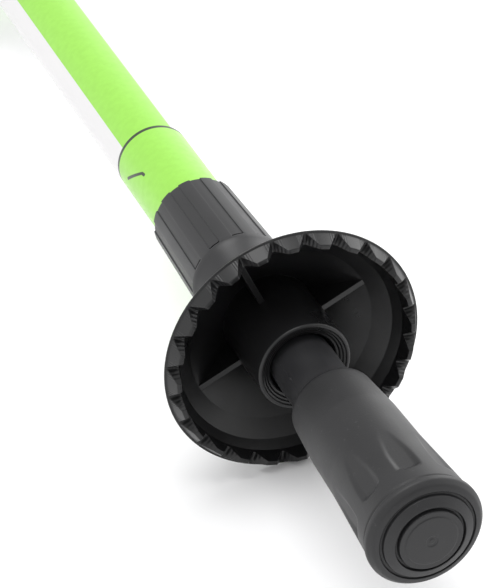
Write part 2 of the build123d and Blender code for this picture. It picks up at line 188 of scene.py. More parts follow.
# %% Node helpers
class Finish:
    """A material with its shader, and short ways to add nodes to it."""

    def __init__(self, name, color, roughness, specular=0.5):
        self.material = bpy.data.materials.new(name)
        self.material.use_nodes = True
        self.tree = self.material.node_tree
        self.shader = self.tree.nodes["Principled BSDF"]
        self.shader.inputs["Base Color"].default_value = (*color, 1)
        self.shader.inputs["Roughness"].default_value = roughness
        self.shader.inputs["Specular IOR Level"].default_value = specular
        self.coordinates = self.tree.nodes.new("ShaderNodeTexCoord").outputs["Object"]

    def put(self, value, socket):
        """Link a socket, or set a plain value."""
        if isinstance(value, bpy.types.NodeSocket):
            self.tree.links.new(value, socket)
        elif value is not None:
            socket.default_value = value

    def math(self, operation, first, second=None, clamp=False):
        """One sum; a value may be a socket or a number."""
        node = self.tree.nodes.new("ShaderNodeMath")
        node.operation = operation
        node.use_clamp = clamp
        for value, socket in zip((first, second), node.inputs):
            self.put(value, socket)
        return node.outputs[0]

    def span(self, value, low, high, to_low=0.0, to_high=1.0, smooth=False):
        """Value from low..high carried to to_low..to_high, and held there outside."""
        node = self.tree.nodes.new("ShaderNodeMapRange")
        node.interpolation_type = "SMOOTHSTEP" if smooth else "LINEAR"
        for name, item in (("Value", value), ("From Min", low), ("From Max", high),
                           ("To Min", to_low), ("To Max", to_high)):
            self.put(item, node.inputs[name])
        return node.outputs[0]

    def mix(self, share, first, second):
        """Colour mix."""
        node = self.tree.nodes.new("ShaderNodeMix")
        node.data_type = "RGBA"
        self.put(share, node.inputs[0])
        for value, socket in ((first, node.inputs[6]), (second, node.inputs[7])):
            self.put((*value, 1) if isinstance(value, tuple) else value, socket)
        return node.outputs[2]

    def noise(self, scale, detail=3.0, stretch=None, seed=0.0):
        """Grain: scale is bumps per metre. A stretch under 1 draws the grain out along that axis."""
        node = self.tree.nodes.new("ShaderNodeTexNoise")
        node.noise_dimensions = "4D"
        node.inputs["W"].default_value = seed
        node.inputs["Scale"].default_value = scale
        node.inputs["Detail"].default_value = detail
        source = self.coordinates
        if stretch:
            mapping = self.tree.nodes.new("ShaderNodeMapping")
            mapping.inputs["Scale"].default_value = stretch
            self.tree.links.new(source, mapping.inputs["Vector"])
            source = mapping.outputs[0]
        self.tree.links.new(source, node.inputs["Vector"])
        return node.outputs[0]

    def bump(self, height, depth):
        """Small relief; depth is the height's full swing, in metres."""
        node = self.tree.nodes.new("ShaderNodeBump")
        node.inputs["Strength"].default_value = 1.0
        node.inputs["Distance"].default_value = depth
        self.put(height, node.inputs["Height"])
        self.tree.links.new(node.outputs[0], self.shader.inputs["Normal"])

    def axes(self):
        """Across, along and up, as three numbers."""
        node = self.tree.nodes.new("ShaderNodeSeparateXYZ")
        self.tree.links.new(self.coordinates, node.inputs[0])
        return node.outputs[0], node.outputs[1], node.outputs[2]

    def polar(self):
        """Angle round the pole in radians and station in metres, as a painter would mark them."""
        across, along, up = self.axes()
        angle = self.math("ARCTAN2", self.math("SUBTRACT", up, RIM.z), across)
        return angle, self.math("SUBTRACT", RIM.y, along)

    def off_axis(self):
        """Distance from the pole's axis in metres."""
        across, along, up = self.axes()
        up = self.math("SUBTRACT", up, RIM.z)
        return self.math("SQRT", self.math("ADD", self.math("MULTIPLY", across, across),
                                           self.math("MULTIPLY", up, up)))


# %% [markdown]
# ### Tube paint
# The tube is painted white with one wide green stripe. Near the ferrule the green goes all the way
# round. A thin dark ring and a short slanted tick, drawn as two pen strokes, mark how far the tube
# may be pulled out. The angle and the station pick the colour, so the print wraps round the tube.
# A thin clear coat gives a soft shine, and a very faint orange-peel bump keeps reflections alive.

# %% Tube paint
LIME, WHITE, INK = (0.285, 0.64, 0.068), (0.67, 0.662, 0.667), (0.02, 0.03, 0.015)
STRIPE_MIDDLE, STRIPE_LEFT, STRIPE_RIGHT = radians(104.6), radians(44.1), radians(41.5)
LEFT_BLUR, RIGHT_BLUR = radians(0.4), radians(5.0)


def tube_paint(name, ring_station, strokes=()):
    """White paint with a green stripe that ends in a green cuff below a dark ring."""
    paint = Finish(name, LIME, 0.28)
    angle, station = paint.polar()
    left_side = paint.span(angle, STRIPE_MIDDLE + STRIPE_LEFT, STRIPE_MIDDLE + STRIPE_LEFT + LEFT_BLUR,
                           1.0, 0.0)
    right_side = paint.span(angle, STRIPE_MIDDLE - STRIPE_RIGHT - RIGHT_BLUR,
                            STRIPE_MIDDLE - STRIPE_RIGHT, smooth=True)
    on_stripe = paint.math("MULTIPLY", left_side, right_side)
    in_cuff = paint.span(station, ring_station - 0.05 * MM, ring_station, 0.0, 1.0)
    green = paint.math("MAXIMUM", on_stripe, in_cuff)
    off_ring = paint.math("ABSOLUTE", paint.math("SUBTRACT", station, ring_station))
    ink = paint.span(off_ring, 0.42 * MM, 0.5 * MM, 1.0, 0.0)
    for start, end in strokes:
        ink = paint.math("MAXIMUM", ink, pen_stroke(paint, angle, station, start, end))
    speckle = paint.noise(700, 2)
    lime = paint.mix(paint.span(speckle, 0.35, 0.65), LIME, tuple(0.95 * part for part in LIME))
    color = paint.mix(green, WHITE, lime)
    paint.put(paint.mix(ink, color, INK), paint.shader.inputs["Base Color"])
    paint.put(paint.span(speckle, 0.3, 0.7, 0.42, 0.5), paint.shader.inputs["Roughness"])
    paint.shader.inputs["Specular IOR Level"].default_value = 0.35
    paint.shader.inputs["Coat Weight"].default_value = 0.4
    paint.shader.inputs["Coat Roughness"].default_value = 0.12
    paint.bump(paint.noise(1400, 1), 0.004 * MM)
    return paint.material


def pen_stroke(paint, angle, station, start, end, radius=8 * MM, half_width=0.35 * MM):
    """1 on a straight bar between two (station, degrees) points on a tube of that radius."""
    along_0, around_0 = start[0], radius * radians(start[1])
    along_1, around_1 = end[0], radius * radians(end[1])
    run, rise = along_1 - along_0, around_1 - around_0
    along = paint.math("SUBTRACT", station, along_0)
    around = paint.math("SUBTRACT", paint.math("MULTIPLY", angle, radius), around_0)
    square = run * run + rise * rise
    share = paint.math("ADD", paint.math("MULTIPLY", along, run / square),
                       paint.math("MULTIPLY", around, rise / square), clamp=True)
    miss_along = paint.math("SUBTRACT", along, paint.math("MULTIPLY", share, run))
    miss_around = paint.math("SUBTRACT", around, paint.math("MULTIPLY", share, rise))
    miss = paint.math("SQRT", paint.math("ADD", paint.math("POWER", miss_along, 2),
                                         paint.math("POWER", miss_around, 2)))
    return paint.span(miss, 0.85 * half_width, 1.1 * half_width, 1.0, 0.0)


lower_start, lower_end = station_span("lower_tube")
middle_start, middle_end = station_span("middle_tube")
upper_start, upper_end = station_span("upper_tube")
LOWER_RING = -77.8 * MM
lower_paint = tube_paint(
    "lower_tube_paint", LOWER_RING,
    strokes=(((-71.8 * MM, 177), (-66.3 * MM, 147)), ((-66.3 * MM, 147), (-65.3 * MM, 146))))
middle_paint = tube_paint("middle_tube_paint", middle_end - 32 * MM)
upper_paint = tube_paint("upper_tube_paint", upper_end - 48 * MM)
print("dark ring at station", LOWER_RING)

# %% [markdown]
# ### Moulded plastic and rubber
# The ferrule, the basket and the collars are black moulded plastic with a satin skin; the foot and
# the grip are rubber, duller and softer in their highlights. Real mouldings carry a fine grain from
# the mould and a few handling marks, so roughness and colour wander a little and a bump adds grain.


# %% Plastics and rubbers
NOTCHES, NOTCH_ANGLE = 24, 10.2
MARKS_PER_PITCH = 13
MARKED_SHARE, MARK_FADE = 0.26, 0.04  # of a pitch, to each side of a notch
MARKED_FROM_R = 19 * MM


def cutter_marks(skin):
    """Thin radial lines, -1 to 1, on the walls of the basket's notches only."""
    angle, station = skin.polar()
    pitches = skin.math("MULTIPLY", skin.math("SUBTRACT", angle, radians(NOTCH_ANGLE)), NOTCHES / (2 * pi))
    off_notch = skin.math("ABSOLUTE", skin.math("SUBTRACT", skin.math(
        "FRACT", skin.math("ADD", pitches, 0.5)), 0.5))
    near_notch = skin.span(off_notch, MARKED_SHARE, MARKED_SHARE + MARK_FADE, 1.0, 0.0)
    on_wall = skin.math("MULTIPLY", near_notch, skin.span(station, 0.0, 0.1 * MM))
    outside_hub = skin.span(skin.off_axis(), MARKED_FROM_R, MARKED_FROM_R + 1 * MM)
    on_wall = skin.math("MULTIPLY", on_wall, outside_hub)
    lines = skin.math("SINE", skin.math("MULTIPLY", pitches, 2 * pi * MARKS_PER_PITCH))
    return skin.math("MULTIPLY", on_wall, lines)


def moulded(name, color, roughness, specular=0.5, grain=2600, grain_depth=0.012, streak=None, dust=0.0,
            cut_depth=0.0):
    """Black moulding: a fine grain, roughness that wanders, and dust or cutter marks if asked."""
    skin = Finish(name, color, roughness, specular)
    cloud = skin.noise(110, 4, seed=1.7)
    fine = skin.noise(grain, 3, stretch=streak, seed=4.2)
    tone = skin.mix(skin.span(cloud, 0.3, 0.7), tuple(0.8 * part for part in color),
                    tuple(1.2 * part for part in color))
    if dust:
        specks = skin.span(skin.noise(1500, 2, seed=8.1), 0.66, 0.72)
        tone = skin.mix(skin.math("MULTIPLY", specks, dust), tone, (0.35, 0.35, 0.36))
    skin.put(tone, skin.shader.inputs["Base Color"])
    skin.put(skin.span(cloud, 0.3, 0.7, roughness - 0.05, roughness + 0.06),
             skin.shader.inputs["Roughness"])
    if cut_depth:
        marks = skin.math("MULTIPLY", cutter_marks(skin), cut_depth / grain_depth)
        fine = skin.math("ADD", fine, marks)
    skin.bump(fine, grain_depth * MM)
    return skin.material


ferrule_plastic = moulded("ferrule_plastic", (0.0155, 0.0155, 0.017), 0.4, 0.5, grain=900,
                          grain_depth=0.02, streak=(1, 0.08, 1))
basket_plastic = moulded("basket_plastic", (0.0075, 0.0075, 0.008), 0.31, 0.42, cut_depth=0.02)
collar_plastic = moulded("collar_plastic", (0.02, 0.02, 0.021), 0.45)
foot_rubber = moulded("foot_rubber", (0.0135, 0.0135, 0.0145), 0.47, 0.45, grain=3200, grain_depth=0.02,
                      dust=0.04)
grip_rubber = moulded("grip_rubber", (0.022, 0.022, 0.023), 0.7, 0.4, grain=2200, grain_depth=0.03)
head_plastic = moulded("head_plastic", (0.03, 0.03, 0.032), 0.5)
lock_plastic = moulded("lock_nylon", (0.55, 0.55, 0.52), 0.5, 0.5, grain=1800)
inlay_plastic = moulded("inlay_plastic", LIME, 0.22, 0.5, grain=900, grain_depth=0.004)


# %% [markdown]
# ### Metals
# The tip holder and the washer are turned steel with fine tool rings; the point is sintered hard
# metal, darker and slightly grained.

# %% Metals
def turned_metal(name, color, roughness, rings):
    """Bare metal with tool rings, so many per metre, and light wear."""
    metal = Finish(name, color, roughness)
    metal.shader.inputs["Metallic"].default_value = 1.0
    across, along, up = metal.axes()
    tool_marks = metal.math("SINE", metal.math("MULTIPLY", along, 2 * pi * rings))
    wear = metal.noise(900, 4, seed=2.5)
    metal.put(metal.span(wear, 0.3, 0.7, roughness - 0.08, roughness + 0.12),
              metal.shader.inputs["Roughness"])
    metal.put(metal.mix(metal.span(wear, 0.3, 0.7), color, tuple(0.75 * part for part in color)),
              metal.shader.inputs["Base Color"])
    metal.bump(metal.math("ADD", tool_marks, wear), 0.004 * MM)
    return metal.material


steel = turned_metal("turned_steel", (0.62, 0.62, 0.64), 0.28, 4000)
hard_metal = turned_metal("hard_metal", (0.34, 0.34, 0.35), 0.36, 900)
print("finishes:", len(bpy.data.materials))


# %% [markdown]
# ## Geometry Nodes helpers
# Two rules make nearly every piece here. A *turned* piece is an outline spun round the pole's axis:
# tubes, collars, the steel parts. An *around* piece is one sector, modelled once and repeated round
# the axis until it closes: the teeth, the flutes, the foot's pockets. Both rules are node trees with
# named inputs, and both end in Realize Instances and Set Material.
#
# Inside the trees the pole stands upright: X and Y lie across it and Z is the station. One Transform
# node at the end lays it down and carries it to its place.

# %% Tree helpers
def start_tree(name, inputs):
    """New geometry tree with named inputs, its input node and its output node."""
    tree = bpy.data.node_groups.new(name, "GeometryNodeTree")
    tree.interface.new_socket("Geometry", in_out="INPUT", socket_type="NodeSocketGeometry")
    for label, kind, value in inputs:
        socket = tree.interface.new_socket(label, in_out="INPUT", socket_type=kind)
        if value is not None:
            socket.default_value = value
    tree.interface.new_socket("Geometry", in_out="OUTPUT", socket_type="NodeSocketGeometry")
    return tree, tree.nodes.new("NodeGroupInput"), tree.nodes.new("NodeGroupOutput")


def add_node(tree, kind, settings=None, **links):
    """Add a node; settings are its properties, links are sockets or values for its inputs."""
    node = tree.nodes.new(kind)
    for key, value in (settings or {}).items():
        setattr(node, key, value)
    for label, value in links.items():
        socket = node.inputs[int(label[1:])] if label[0] == "_" else node.inputs[label.replace("_", " ")]
        if isinstance(value, bpy.types.NodeSocket):
            tree.links.new(value, socket)
        else:
            socket.default_value = value
    return node


def lay_down(tree, geometry, sheet_input, group_output):
    """Lay the upright pole along Y, move it to the rim, shade it smooth and give it its finish."""
    placed = add_node(tree, "GeometryNodeTransform", Geometry=geometry,
                      Translation=tuple(RIM), Rotation=(pi / 2, 0, 0))
    smooth = add_node(tree, "GeometryNodeSetShadeSmooth", Geometry=placed.outputs[0])
    painted = add_node(tree, "GeometryNodeSetMaterial", Geometry=smooth.outputs[0],
                       Material=sheet_input.outputs["Material"])
    tree.links.new(painted.outputs[0], group_output.inputs[0])


def run_tree(piece, tree, **values):
    """Run the tree on the piece once and keep the plain mesh that it gives."""
    modifier = piece.modifiers.new(tree.name, "NODES")
    modifier.node_group = tree
    for item in tree.interface.items_tree:
        if item.in_out == "INPUT" and item.name.replace(" ", "_") in values:
            modifier[item.identifier] = values[item.name.replace(" ", "_")]
    return settle(piece)


def settle(piece):
    """Replace the piece's mesh by what its modifiers give, and remove them."""
    graph = bpy.context.evaluated_depsgraph_get()
    mesh = bpy.data.meshes.new_from_object(piece.evaluated_get(graph))
    piece.modifiers.clear()
    piece.data = mesh
    mesh.name = piece.name
    return piece


def mesh_piece(name, points, edges=(), faces=()):
    """New object at the origin from points, edges and faces."""
    mesh = bpy.data.meshes.new(name)
    mesh.from_pydata([tuple(point) for point in points], list(edges), list(faces))
    piece = bpy.data.objects.new(name, mesh)
    bpy.context.scene.collection.objects.link(piece)
    return piece


# %% The turned tree
TURN_CORE = 1 * MM   # radius of the circle that carries the outline
turned_tree, given, result = start_tree("turned", [
    ("Segments", "NodeSocketInt", 128),
    ("Edge radius", "NodeSocketFloat", 0.15 * MM),
    ("Edge steps", "NodeSocketInt", 3),
    ("Material", "NodeSocketMaterial", None),
])
outline_curve = add_node(turned_tree, "GeometryNodeMeshToCurve", Mesh=given.outputs["Geometry"])
eased = add_node(turned_tree, "GeometryNodeFilletCurve", {"mode": "POLY"},
                 Curve=outline_curve.outputs[0], Radius=given.outputs["Edge radius"],
                 Count=given.outputs["Edge steps"], Limit_Radius=True)
circle = add_node(turned_tree, "GeometryNodeCurvePrimitiveCircle",
                  Resolution=given.outputs["Segments"], Radius=TURN_CORE)
spun = add_node(turned_tree, "GeometryNodeCurveToMesh", Curve=circle.outputs[0],
                Profile_Curve=eased.outputs[0])
merged = add_node(turned_tree, "GeometryNodeMergeByDistance", Geometry=spun.outputs[0],
                  Distance=0.001 * MM)
real = add_node(turned_tree, "GeometryNodeRealizeInstances", Geometry=merged.outputs[0])
lay_down(turned_tree, real.outputs[0], given, result)


def face_outwards(piece):
    """Recalculate the normals of a closed mesh."""
    work = bmesh.new()
    work.from_mesh(piece.data)
    bmesh.ops.recalc_face_normals(work, faces=work.faces)
    work.to_mesh(piece.data)
    work.free()
    return piece


def even_shading(piece, angle=35):
    """Weighted normals: wide faces stay flat and the small edge faces carry the turn."""
    piece.data.set_sharp_from_angle(angle=radians(angle))
    weighted = piece.modifiers.new("weighted", "WEIGHTED_NORMAL")
    weighted.keep_sharp = True
    weighted.weight = 80
    return settle(piece)


EDGE_STEPS = 3


def turned(name, outline, finish, edge=0.15, segments=128):
    """Spin an outline of (radius, station) corners, in millimetres, round the pole."""
    points = [((radius - 1) * MM, -station * MM, 0) for radius, station in outline]
    count = len(points)
    piece = mesh_piece(name, points, [(i, (i + 1) % count) for i in range(count)])
    run_tree(piece, turned_tree, Segments=segments, Edge_radius=edge * MM, Edge_steps=EDGE_STEPS,
             Material=finish)
    face_outwards(piece)
    return even_shading(piece)


def ring(inner, outer, start, end):
    """Outline of a plain tube."""
    return [(inner, start), (outer, start), (outer, end), (inner, end)]


def hand_over(piece, body, slot, *nodes):
    """The piece rides on its body and stands for its CAD nodes; the slot is not used."""
    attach(piece, body)
    if nodes:
        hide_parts(*nodes)
    print(f"{piece.name}: {len(piece.data.polygons)} faces on {body}")
    return piece


# %% [markdown]
# ## Tubes, collars and steel parts
# All of these are turned. Three aluminium tubes nest with 0.3 mm between them, a collar caps the
# mouth of each outer tube, and the steel parts sit in the tip. A short easing on every corner stands
# for the deburred edge of a cut tube or the radius of a mould: without it no edge catches the light.

# %% Tubes
LOWER_R, MIDDLE_R, UPPER_R, TUBE_WALL = 8.0, 9.0, 10.0, 0.7
for name, outer, finish, body, span in (
        ("lower_tube", LOWER_R, lower_paint, "lower_section", (lower_start, lower_end)),
        ("middle_tube", MIDDLE_R, middle_paint, "middle_section", (middle_start, middle_end)),
        ("upper_tube", UPPER_R, upper_paint, "upper_section", (upper_start, upper_end))):
    shell = turned(f"{name}_skin", ring(outer - TUBE_WALL, outer, span[0] / MM, span[1] / MM),
                   finish, edge=0.2, segments=160)
    hand_over(shell, body, f"tube_{name.split('_')[0]}", name)

# %% Collars
GAP, LIP, COLLAR_WALL = 0.3, 3.0, 1.4


def collar_outline(tube_r, inside_r, start, end, grooves=()):
    """Collar that sits on a tube, reaches past its end and guides the tube inside it."""
    outer = tube_r + COLLAR_WALL
    outline = [(inside_r + GAP, end), (outer - 0.7, end), (outer, end - 0.7)]
    for station in grooves:
        outline += [(outer, station + 0.6), (outer - 0.4, station + 0.45),
                    (outer - 0.4, station - 0.45), (outer, station - 0.6)]
    return outline + [(outer, start + 0.7), (outer - 0.7, start), (tube_r, start),
                      (tube_r, end - LIP), (inside_r + GAP, end - LIP)]


start, end = (station / MM for station in station_span("middle_collar"))
hand_over(turned("middle_collar_skin", collar_outline(MIDDLE_R, LOWER_R, start, end), collar_plastic),
          "middle_section", "collar", "middle_collar")
start, end = (station / MM for station in station_span("upper_collar"))
upper_grooves = [end - 7.8 - 3.9 * groove for groove in range(4)]
hand_over(turned("upper_collar_skin", collar_outline(UPPER_R, MIDDLE_R, start, end, upper_grooves),
                 collar_plastic, edge=0.1), "upper_section", "collar", "upper_collar")

# %% Steel parts
NOSE_R, NOSE_END = 4.0, 43.0
holder = [(NOSE_R - 0.5, NOSE_END - 4.5), (NOSE_R, NOSE_END - 4.5), (NOSE_R, NOSE_END - 0.8),
          (NOSE_R - 0.25, NOSE_END), (NOSE_R - 0.5, NOSE_END)]
point = [(0, 31), (2, 31), (2, 45.6), (1.85, 45.9), (2, 46.2), (2, 47), (1.5, 46.7), (0, 46)]
washer = ring(1, 5.2, 48, 49.5)
hand_over(turned("tip_holder_steel", holder, steel, edge=0.08, segments=96),
          "lower_section", "steel", "tip_holder")
hand_over(turned("carbide_point", point, hard_metal, edge=0.06, segments=96),
          "lower_section", "carbide", "carbide_tip")
hand_over(turned("washer_steel", washer, steel, edge=0.15, segments=96),
          "rubber_foot", "steel", "boot_washer")

# %% [markdown]
# ## One sector, repeated
# The *around* tree takes one sector of a piece, copies it round the axis and merges the copies
# where they meet, so the piece closes. A sector is a row of columns. Each column is the piece's whole
# outline at one angle, and neighbouring columns are joined by quads. Teeth, flutes and pockets come
# from letting the outline change from column to column.

# %% The around tree
around_tree, given, result = start_tree("around", [
    ("Count", "NodeSocketInt", 12),
    ("Start angle", "NodeSocketFloat", 0.0),
    ("Merge distance", "NodeSocketFloat", 0.002 * MM),
    ("Material", "NodeSocketMaterial", None),
])
seats = add_node(around_tree, "GeometryNodePoints", Count=given.outputs["Count"])
index = add_node(around_tree, "GeometryNodeInputIndex")
step = add_node(around_tree, "ShaderNodeMath", {"operation": "DIVIDE"}, _0=2 * pi,
                _1=given.outputs["Count"])
turn = add_node(around_tree, "ShaderNodeMath", {"operation": "MULTIPLY_ADD"}, _0=index.outputs[0],
                _1=step.outputs[0], _2=given.outputs["Start angle"])
spin = add_node(around_tree, "ShaderNodeCombineXYZ", Z=turn.outputs[0])
copies = add_node(around_tree, "GeometryNodeInstanceOnPoints", Points=seats.outputs[0],
                  Instance=given.outputs["Geometry"], Rotation=spin.outputs[0])
real = add_node(around_tree, "GeometryNodeRealizeInstances", Geometry=copies.outputs[0])
merged = add_node(around_tree, "GeometryNodeMergeByDistance", Geometry=real.outputs[0],
                  Distance=given.outputs["Merge distance"])
lay_down(around_tree, merged.outputs[0], given, result)


# %% Sectors from columns
def sector(name, columns, closed=False):
    """Mesh of columns of (x, y, station) points in millimetres, joined side by side."""
    count, height = len(columns), len(columns[0])
    points = [tuple(value * MM for value in point) for column in columns for point in column]
    faces = [(i * height + k, ((i + 1) % count) * height + k,
              ((i + 1) % count) * height + (k + 1) % height, i * height + (k + 1) % height)
             for i in range(count if closed else count - 1) for k in range(height)]
    return mesh_piece(name, points, faces=faces)


def column(outline, angle):
    """Points of an outline at one angle, in degrees."""
    return [(radius * cos(radians(angle)), radius * sin(radians(angle)), station)
            for radius, station in outline]


def soften(piece, width):
    """Small mould radius on every edge that turns by more than 28 degrees."""
    bevel = piece.modifiers.new("mould_radius", "BEVEL")
    bevel.width, bevel.segments = width * MM, 2
    bevel.limit_method, bevel.angle_limit = "ANGLE", radians(28)
    bevel.use_clamp_overlap = False
    bevel.miter_outer = "MITER_ARC"
    return even_shading(settle(piece))


# %% [markdown]
# ## Basket
# The basket is one moulding: a hub that turns on the neck, a deep dish with four thin ribs, and a
# crown of 24 teeth with V notches between them. One tooth pitch is modelled from the middle of a
# tooth, down the flank of a notch and up the next one. The notch has straight sides, so its columns
# keep a fixed distance from its middle line and not a fixed angle.

# %% Basket outline
RIM_R, HUB_BORE_R, HUB_R = 25.8, 6.4, 9.3
TOOTH_HEIGHT, TOOTH_LEAN, TOOTH_LAND = 2.7, 1.2, 0.9
TOOTH_BASE_R = RIM_R - 0.4
TOOTH_INNER_R = TOOTH_BASE_R - TOOTH_LEAN - TOOTH_LAND
WALL_TAPER, WALL_TOP, WALL_FOOT = 0.4, 0.6, 2.7
STEP_R, STEP_DEPTH, DISH_SLOPE = 18.6, 5.6, tan(radians(37))
WALL_FOOT_R = RIM_R - 4.15
FLOOR_DEPTH = STEP_DEPTH + (STEP_R - HUB_R) * DISH_SLOPE
HUB_FRONT, HUB_BACK = 6.1, -FLOOR_DEPTH - 1.6


def between(start, end, inset=0.12):
    """Two points just inside a straight run, so that shading turns only at its corners."""
    run = Vector(end) - Vector(start)
    step_in = run.normalized() * inset
    return [tuple(Vector(start) + step_in), tuple(Vector(end) - step_in)]


def basket_outline(rise):
    """Outline of the basket where its teeth are that high, and which corners belong to the tooth."""
    share = rise / TOOTH_HEIGHT
    slant = WALL_TAPER * (TOOTH_HEIGHT - rise) / (TOOTH_HEIGHT + WALL_TOP)
    tooth = [(TOOTH_BASE_R, 0), (TOOTH_BASE_R - TOOTH_LEAN * share, rise), (TOOTH_INNER_R - slant, rise)]
    back = [(HUB_BORE_R, HUB_BACK), (HUB_R + 0.8, HUB_BACK), (RIM_R - 0.6, -0.6), (RIM_R, -0.3),
            (RIM_R, 0)]
    dish = [(TOOTH_INNER_R - WALL_TAPER, -WALL_TOP),
            *between((TOOTH_INNER_R - WALL_TAPER, -WALL_TOP), (WALL_FOOT_R, -WALL_FOOT)),
            (WALL_FOOT_R, -WALL_FOOT),
            *between((WALL_FOOT_R, -WALL_FOOT), (STEP_R, -STEP_DEPTH)), (STEP_R, -STEP_DEPTH),
            *between((STEP_R, -STEP_DEPTH), (HUB_R, -FLOOR_DEPTH)), (HUB_R, -FLOOR_DEPTH)]
    hub = [(HUB_R, HUB_FRONT - 0.3), (HUB_R - 0.3, HUB_FRONT), (HUB_R - 0.75, HUB_FRONT),
           (HUB_R - 0.9, HUB_FRONT - 0.3), (HUB_R - 1.3, HUB_FRONT - 0.35),
           (HUB_R - 1.45, HUB_FRONT - 0.65), (HUB_R - 1.85, HUB_FRONT - 0.7),
           (HUB_R - 2.0, HUB_FRONT - 1.0), (HUB_BORE_R + 0.4, HUB_FRONT - 1.05),
           (HUB_BORE_R, HUB_FRONT - 1.6)]
    outline = back + tooth + dish + hub
    return outline, range(len(back), len(back) + len(tooth))


def basket_column(offset, rise):
    """Column at a distance from the notch's middle line; only tooth corners keep that distance."""
    outline, tooth = basket_outline(rise)
    points = []
    for k, (radius, station) in enumerate(outline):
        angle = asin(offset / (radius if k in tooth else TOOTH_BASE_R))
        points.append((radius * cos(angle), radius * sin(angle), station))
    return points


# %% Basket
NOTCH_FLOOR, NOTCH_TOP = 0.2, 2.1  # half widths of a notch at its floor and at the teeth's tops
SIDE_COLUMN = 1.3                  # degrees from a tooth's middle to its second column
full, _ = basket_outline(TOOTH_HEIGHT)
half_pitch = 180 / NOTCHES
flanks = [(sign * (NOTCH_FLOOR + share * (NOTCH_TOP - NOTCH_FLOOR)), share * TOOTH_HEIGHT)
          for sign, shares in ((-1, (1, 0.5, 0)), (1, (0, 0.5, 1))) for share in shares]
columns = [column(full, -half_pitch), column(full, -half_pitch + SIDE_COLUMN)]
columns += [basket_column(offset, rise) for offset, rise in flanks]
columns += [column(full, half_pitch - SIDE_COLUMN), column(full, half_pitch)]
basket_shell = sector("basket_shell", columns)
run_tree(basket_shell, around_tree, Count=NOTCHES, Start_angle=radians(NOTCH_ANGLE),
         Material=basket_plastic)
face_outwards(basket_shell)
soften(basket_shell, 0.13)
hand_over(basket_shell, "trail_basket", "basket", "basket")

# %% Ribs
RIBS, RIB_ANGLE, RIB_WIDTH, RIB_SINK = 4, 26.1, 1.2, 0.8
rib_side = [(HUB_R - RIB_SINK, -STEP_DEPTH), (STEP_R + RIB_SINK, -STEP_DEPTH),
            (HUB_R - RIB_SINK, -FLOOR_DEPTH - RIB_SINK)]
rib_points = [(radius, side * RIB_WIDTH / 2, station) for side in (-1, 1) for radius, station in rib_side]
rib = mesh_piece("basket_ribs", [tuple(value * MM for value in point) for point in rib_points],
                 faces=[(0, 1, 2), (3, 5, 4), (0, 3, 4, 1), (1, 4, 5, 2), (2, 5, 3, 0)])
run_tree(rib, around_tree, Count=RIBS, Start_angle=radians(RIB_ANGLE), Material=basket_plastic)
face_outwards(rib)
soften(rib, 0.12)
hand_over(rib, "trail_basket", "basket")

# %% [markdown]
# ## Ferrule, neck and nose
# One flexible moulding holds the tube and carries the basket. Twelve shallow flutes run down the
# ferrule, and each ends at its foot in a narrow slot that reads as a dark dash. A sector is one
# flute: its walls are two columns at the same place, one on the skin and one on the flute's floor.

# %% Ferrule outline
FERRULE_TOP, FERRULE_FOOT, SOCKET_END = -52.5, -27.0, -32.5
SKIN_TOP_R, SKIN_FOOT_R, FLUTE_DEPTH, FLUTE_WIDTH = 9.2, 9.95, 0.24, 2.4
SLOT_START, SLOT_END, SLOT_DEPTH = -28.6, -28.0, 1.4
NECK_R, NECK_START, NECK_END = 6.1, HUB_BACK - 2.0, 31.0


def skin_r(station):
    """Radius of the ferrule's skin between its top and its foot."""
    share = (station - FERRULE_TOP) / (FERRULE_FOOT - FERRULE_TOP)
    return SKIN_TOP_R + share * (SKIN_FOOT_R - SKIN_TOP_R)


def ferrule_outline(in_flute):
    """Outline of the moulding, on its skin or on a flute's floor."""
    depth, slot = (FLUTE_DEPTH, SLOT_DEPTH) if in_flute else (0, 0)
    fluted = [(skin_r(FERRULE_TOP) - depth, FERRULE_TOP), (skin_r(SLOT_START) - depth, SLOT_START),
              (skin_r(SLOT_START) - slot, SLOT_START), (skin_r(SLOT_END) - slot, SLOT_END),
              (skin_r(SLOT_END), SLOT_END), (SKIN_FOOT_R - 0.05, FERRULE_FOOT - 0.5),
              (SKIN_FOOT_R - 0.3, FERRULE_FOOT + 0.15), (SKIN_FOOT_R - 0.75, FERRULE_FOOT + 1.1)]
    return [(0, SOCKET_END), (8, SOCKET_END), (8, FERRULE_TOP), *fluted, (NECK_R, NECK_START),
            (NECK_R, -9.2), (NECK_R + 0.5, -8.3), (NECK_R + 0.5, -7.7), (NECK_R, -6.8),
            (NECK_R, 6), (NECK_R, 18), (NECK_R, NECK_END), (NOSE_R, 37.5), (NOSE_R, 38.5),
            (NOSE_R - 0.5, 38.5), (NOSE_R - 0.5, NOSE_END), (2, NOSE_END), (2, 31), (0, 31)]


# %% Flexible tip
FLUTES, FLUTE_ANGLE = 12, 1.5
LAND_COLUMNS = (9.6, 12.3)  # degrees from the flute's middle
skin, floor_line = ferrule_outline(False), ferrule_outline(True)
wall_angle = degrees(asin(FLUTE_WIDTH / 2 / SKIN_FOOT_R))
half_flute = 180 / FLUTES
columns = [column(skin, angle) for angle in (-half_flute, -LAND_COLUMNS[1], -LAND_COLUMNS[0], -wall_angle)]
columns += [column(floor_line, angle) for angle in (-wall_angle, -wall_angle / 2, 0, wall_angle / 2,
                                                    wall_angle)]
columns += [column(skin, angle) for angle in (wall_angle, *LAND_COLUMNS, half_flute)]
tip_moulding = sector("tip_moulding", columns)
run_tree(tip_moulding, around_tree, Count=FLUTES, Start_angle=radians(FLUTE_ANGLE),
         Material=ferrule_plastic)
face_outwards(tip_moulding)
soften(tip_moulding, 0.1)
hand_over(tip_moulding, "lower_section", "ferrule", "flex_tip")

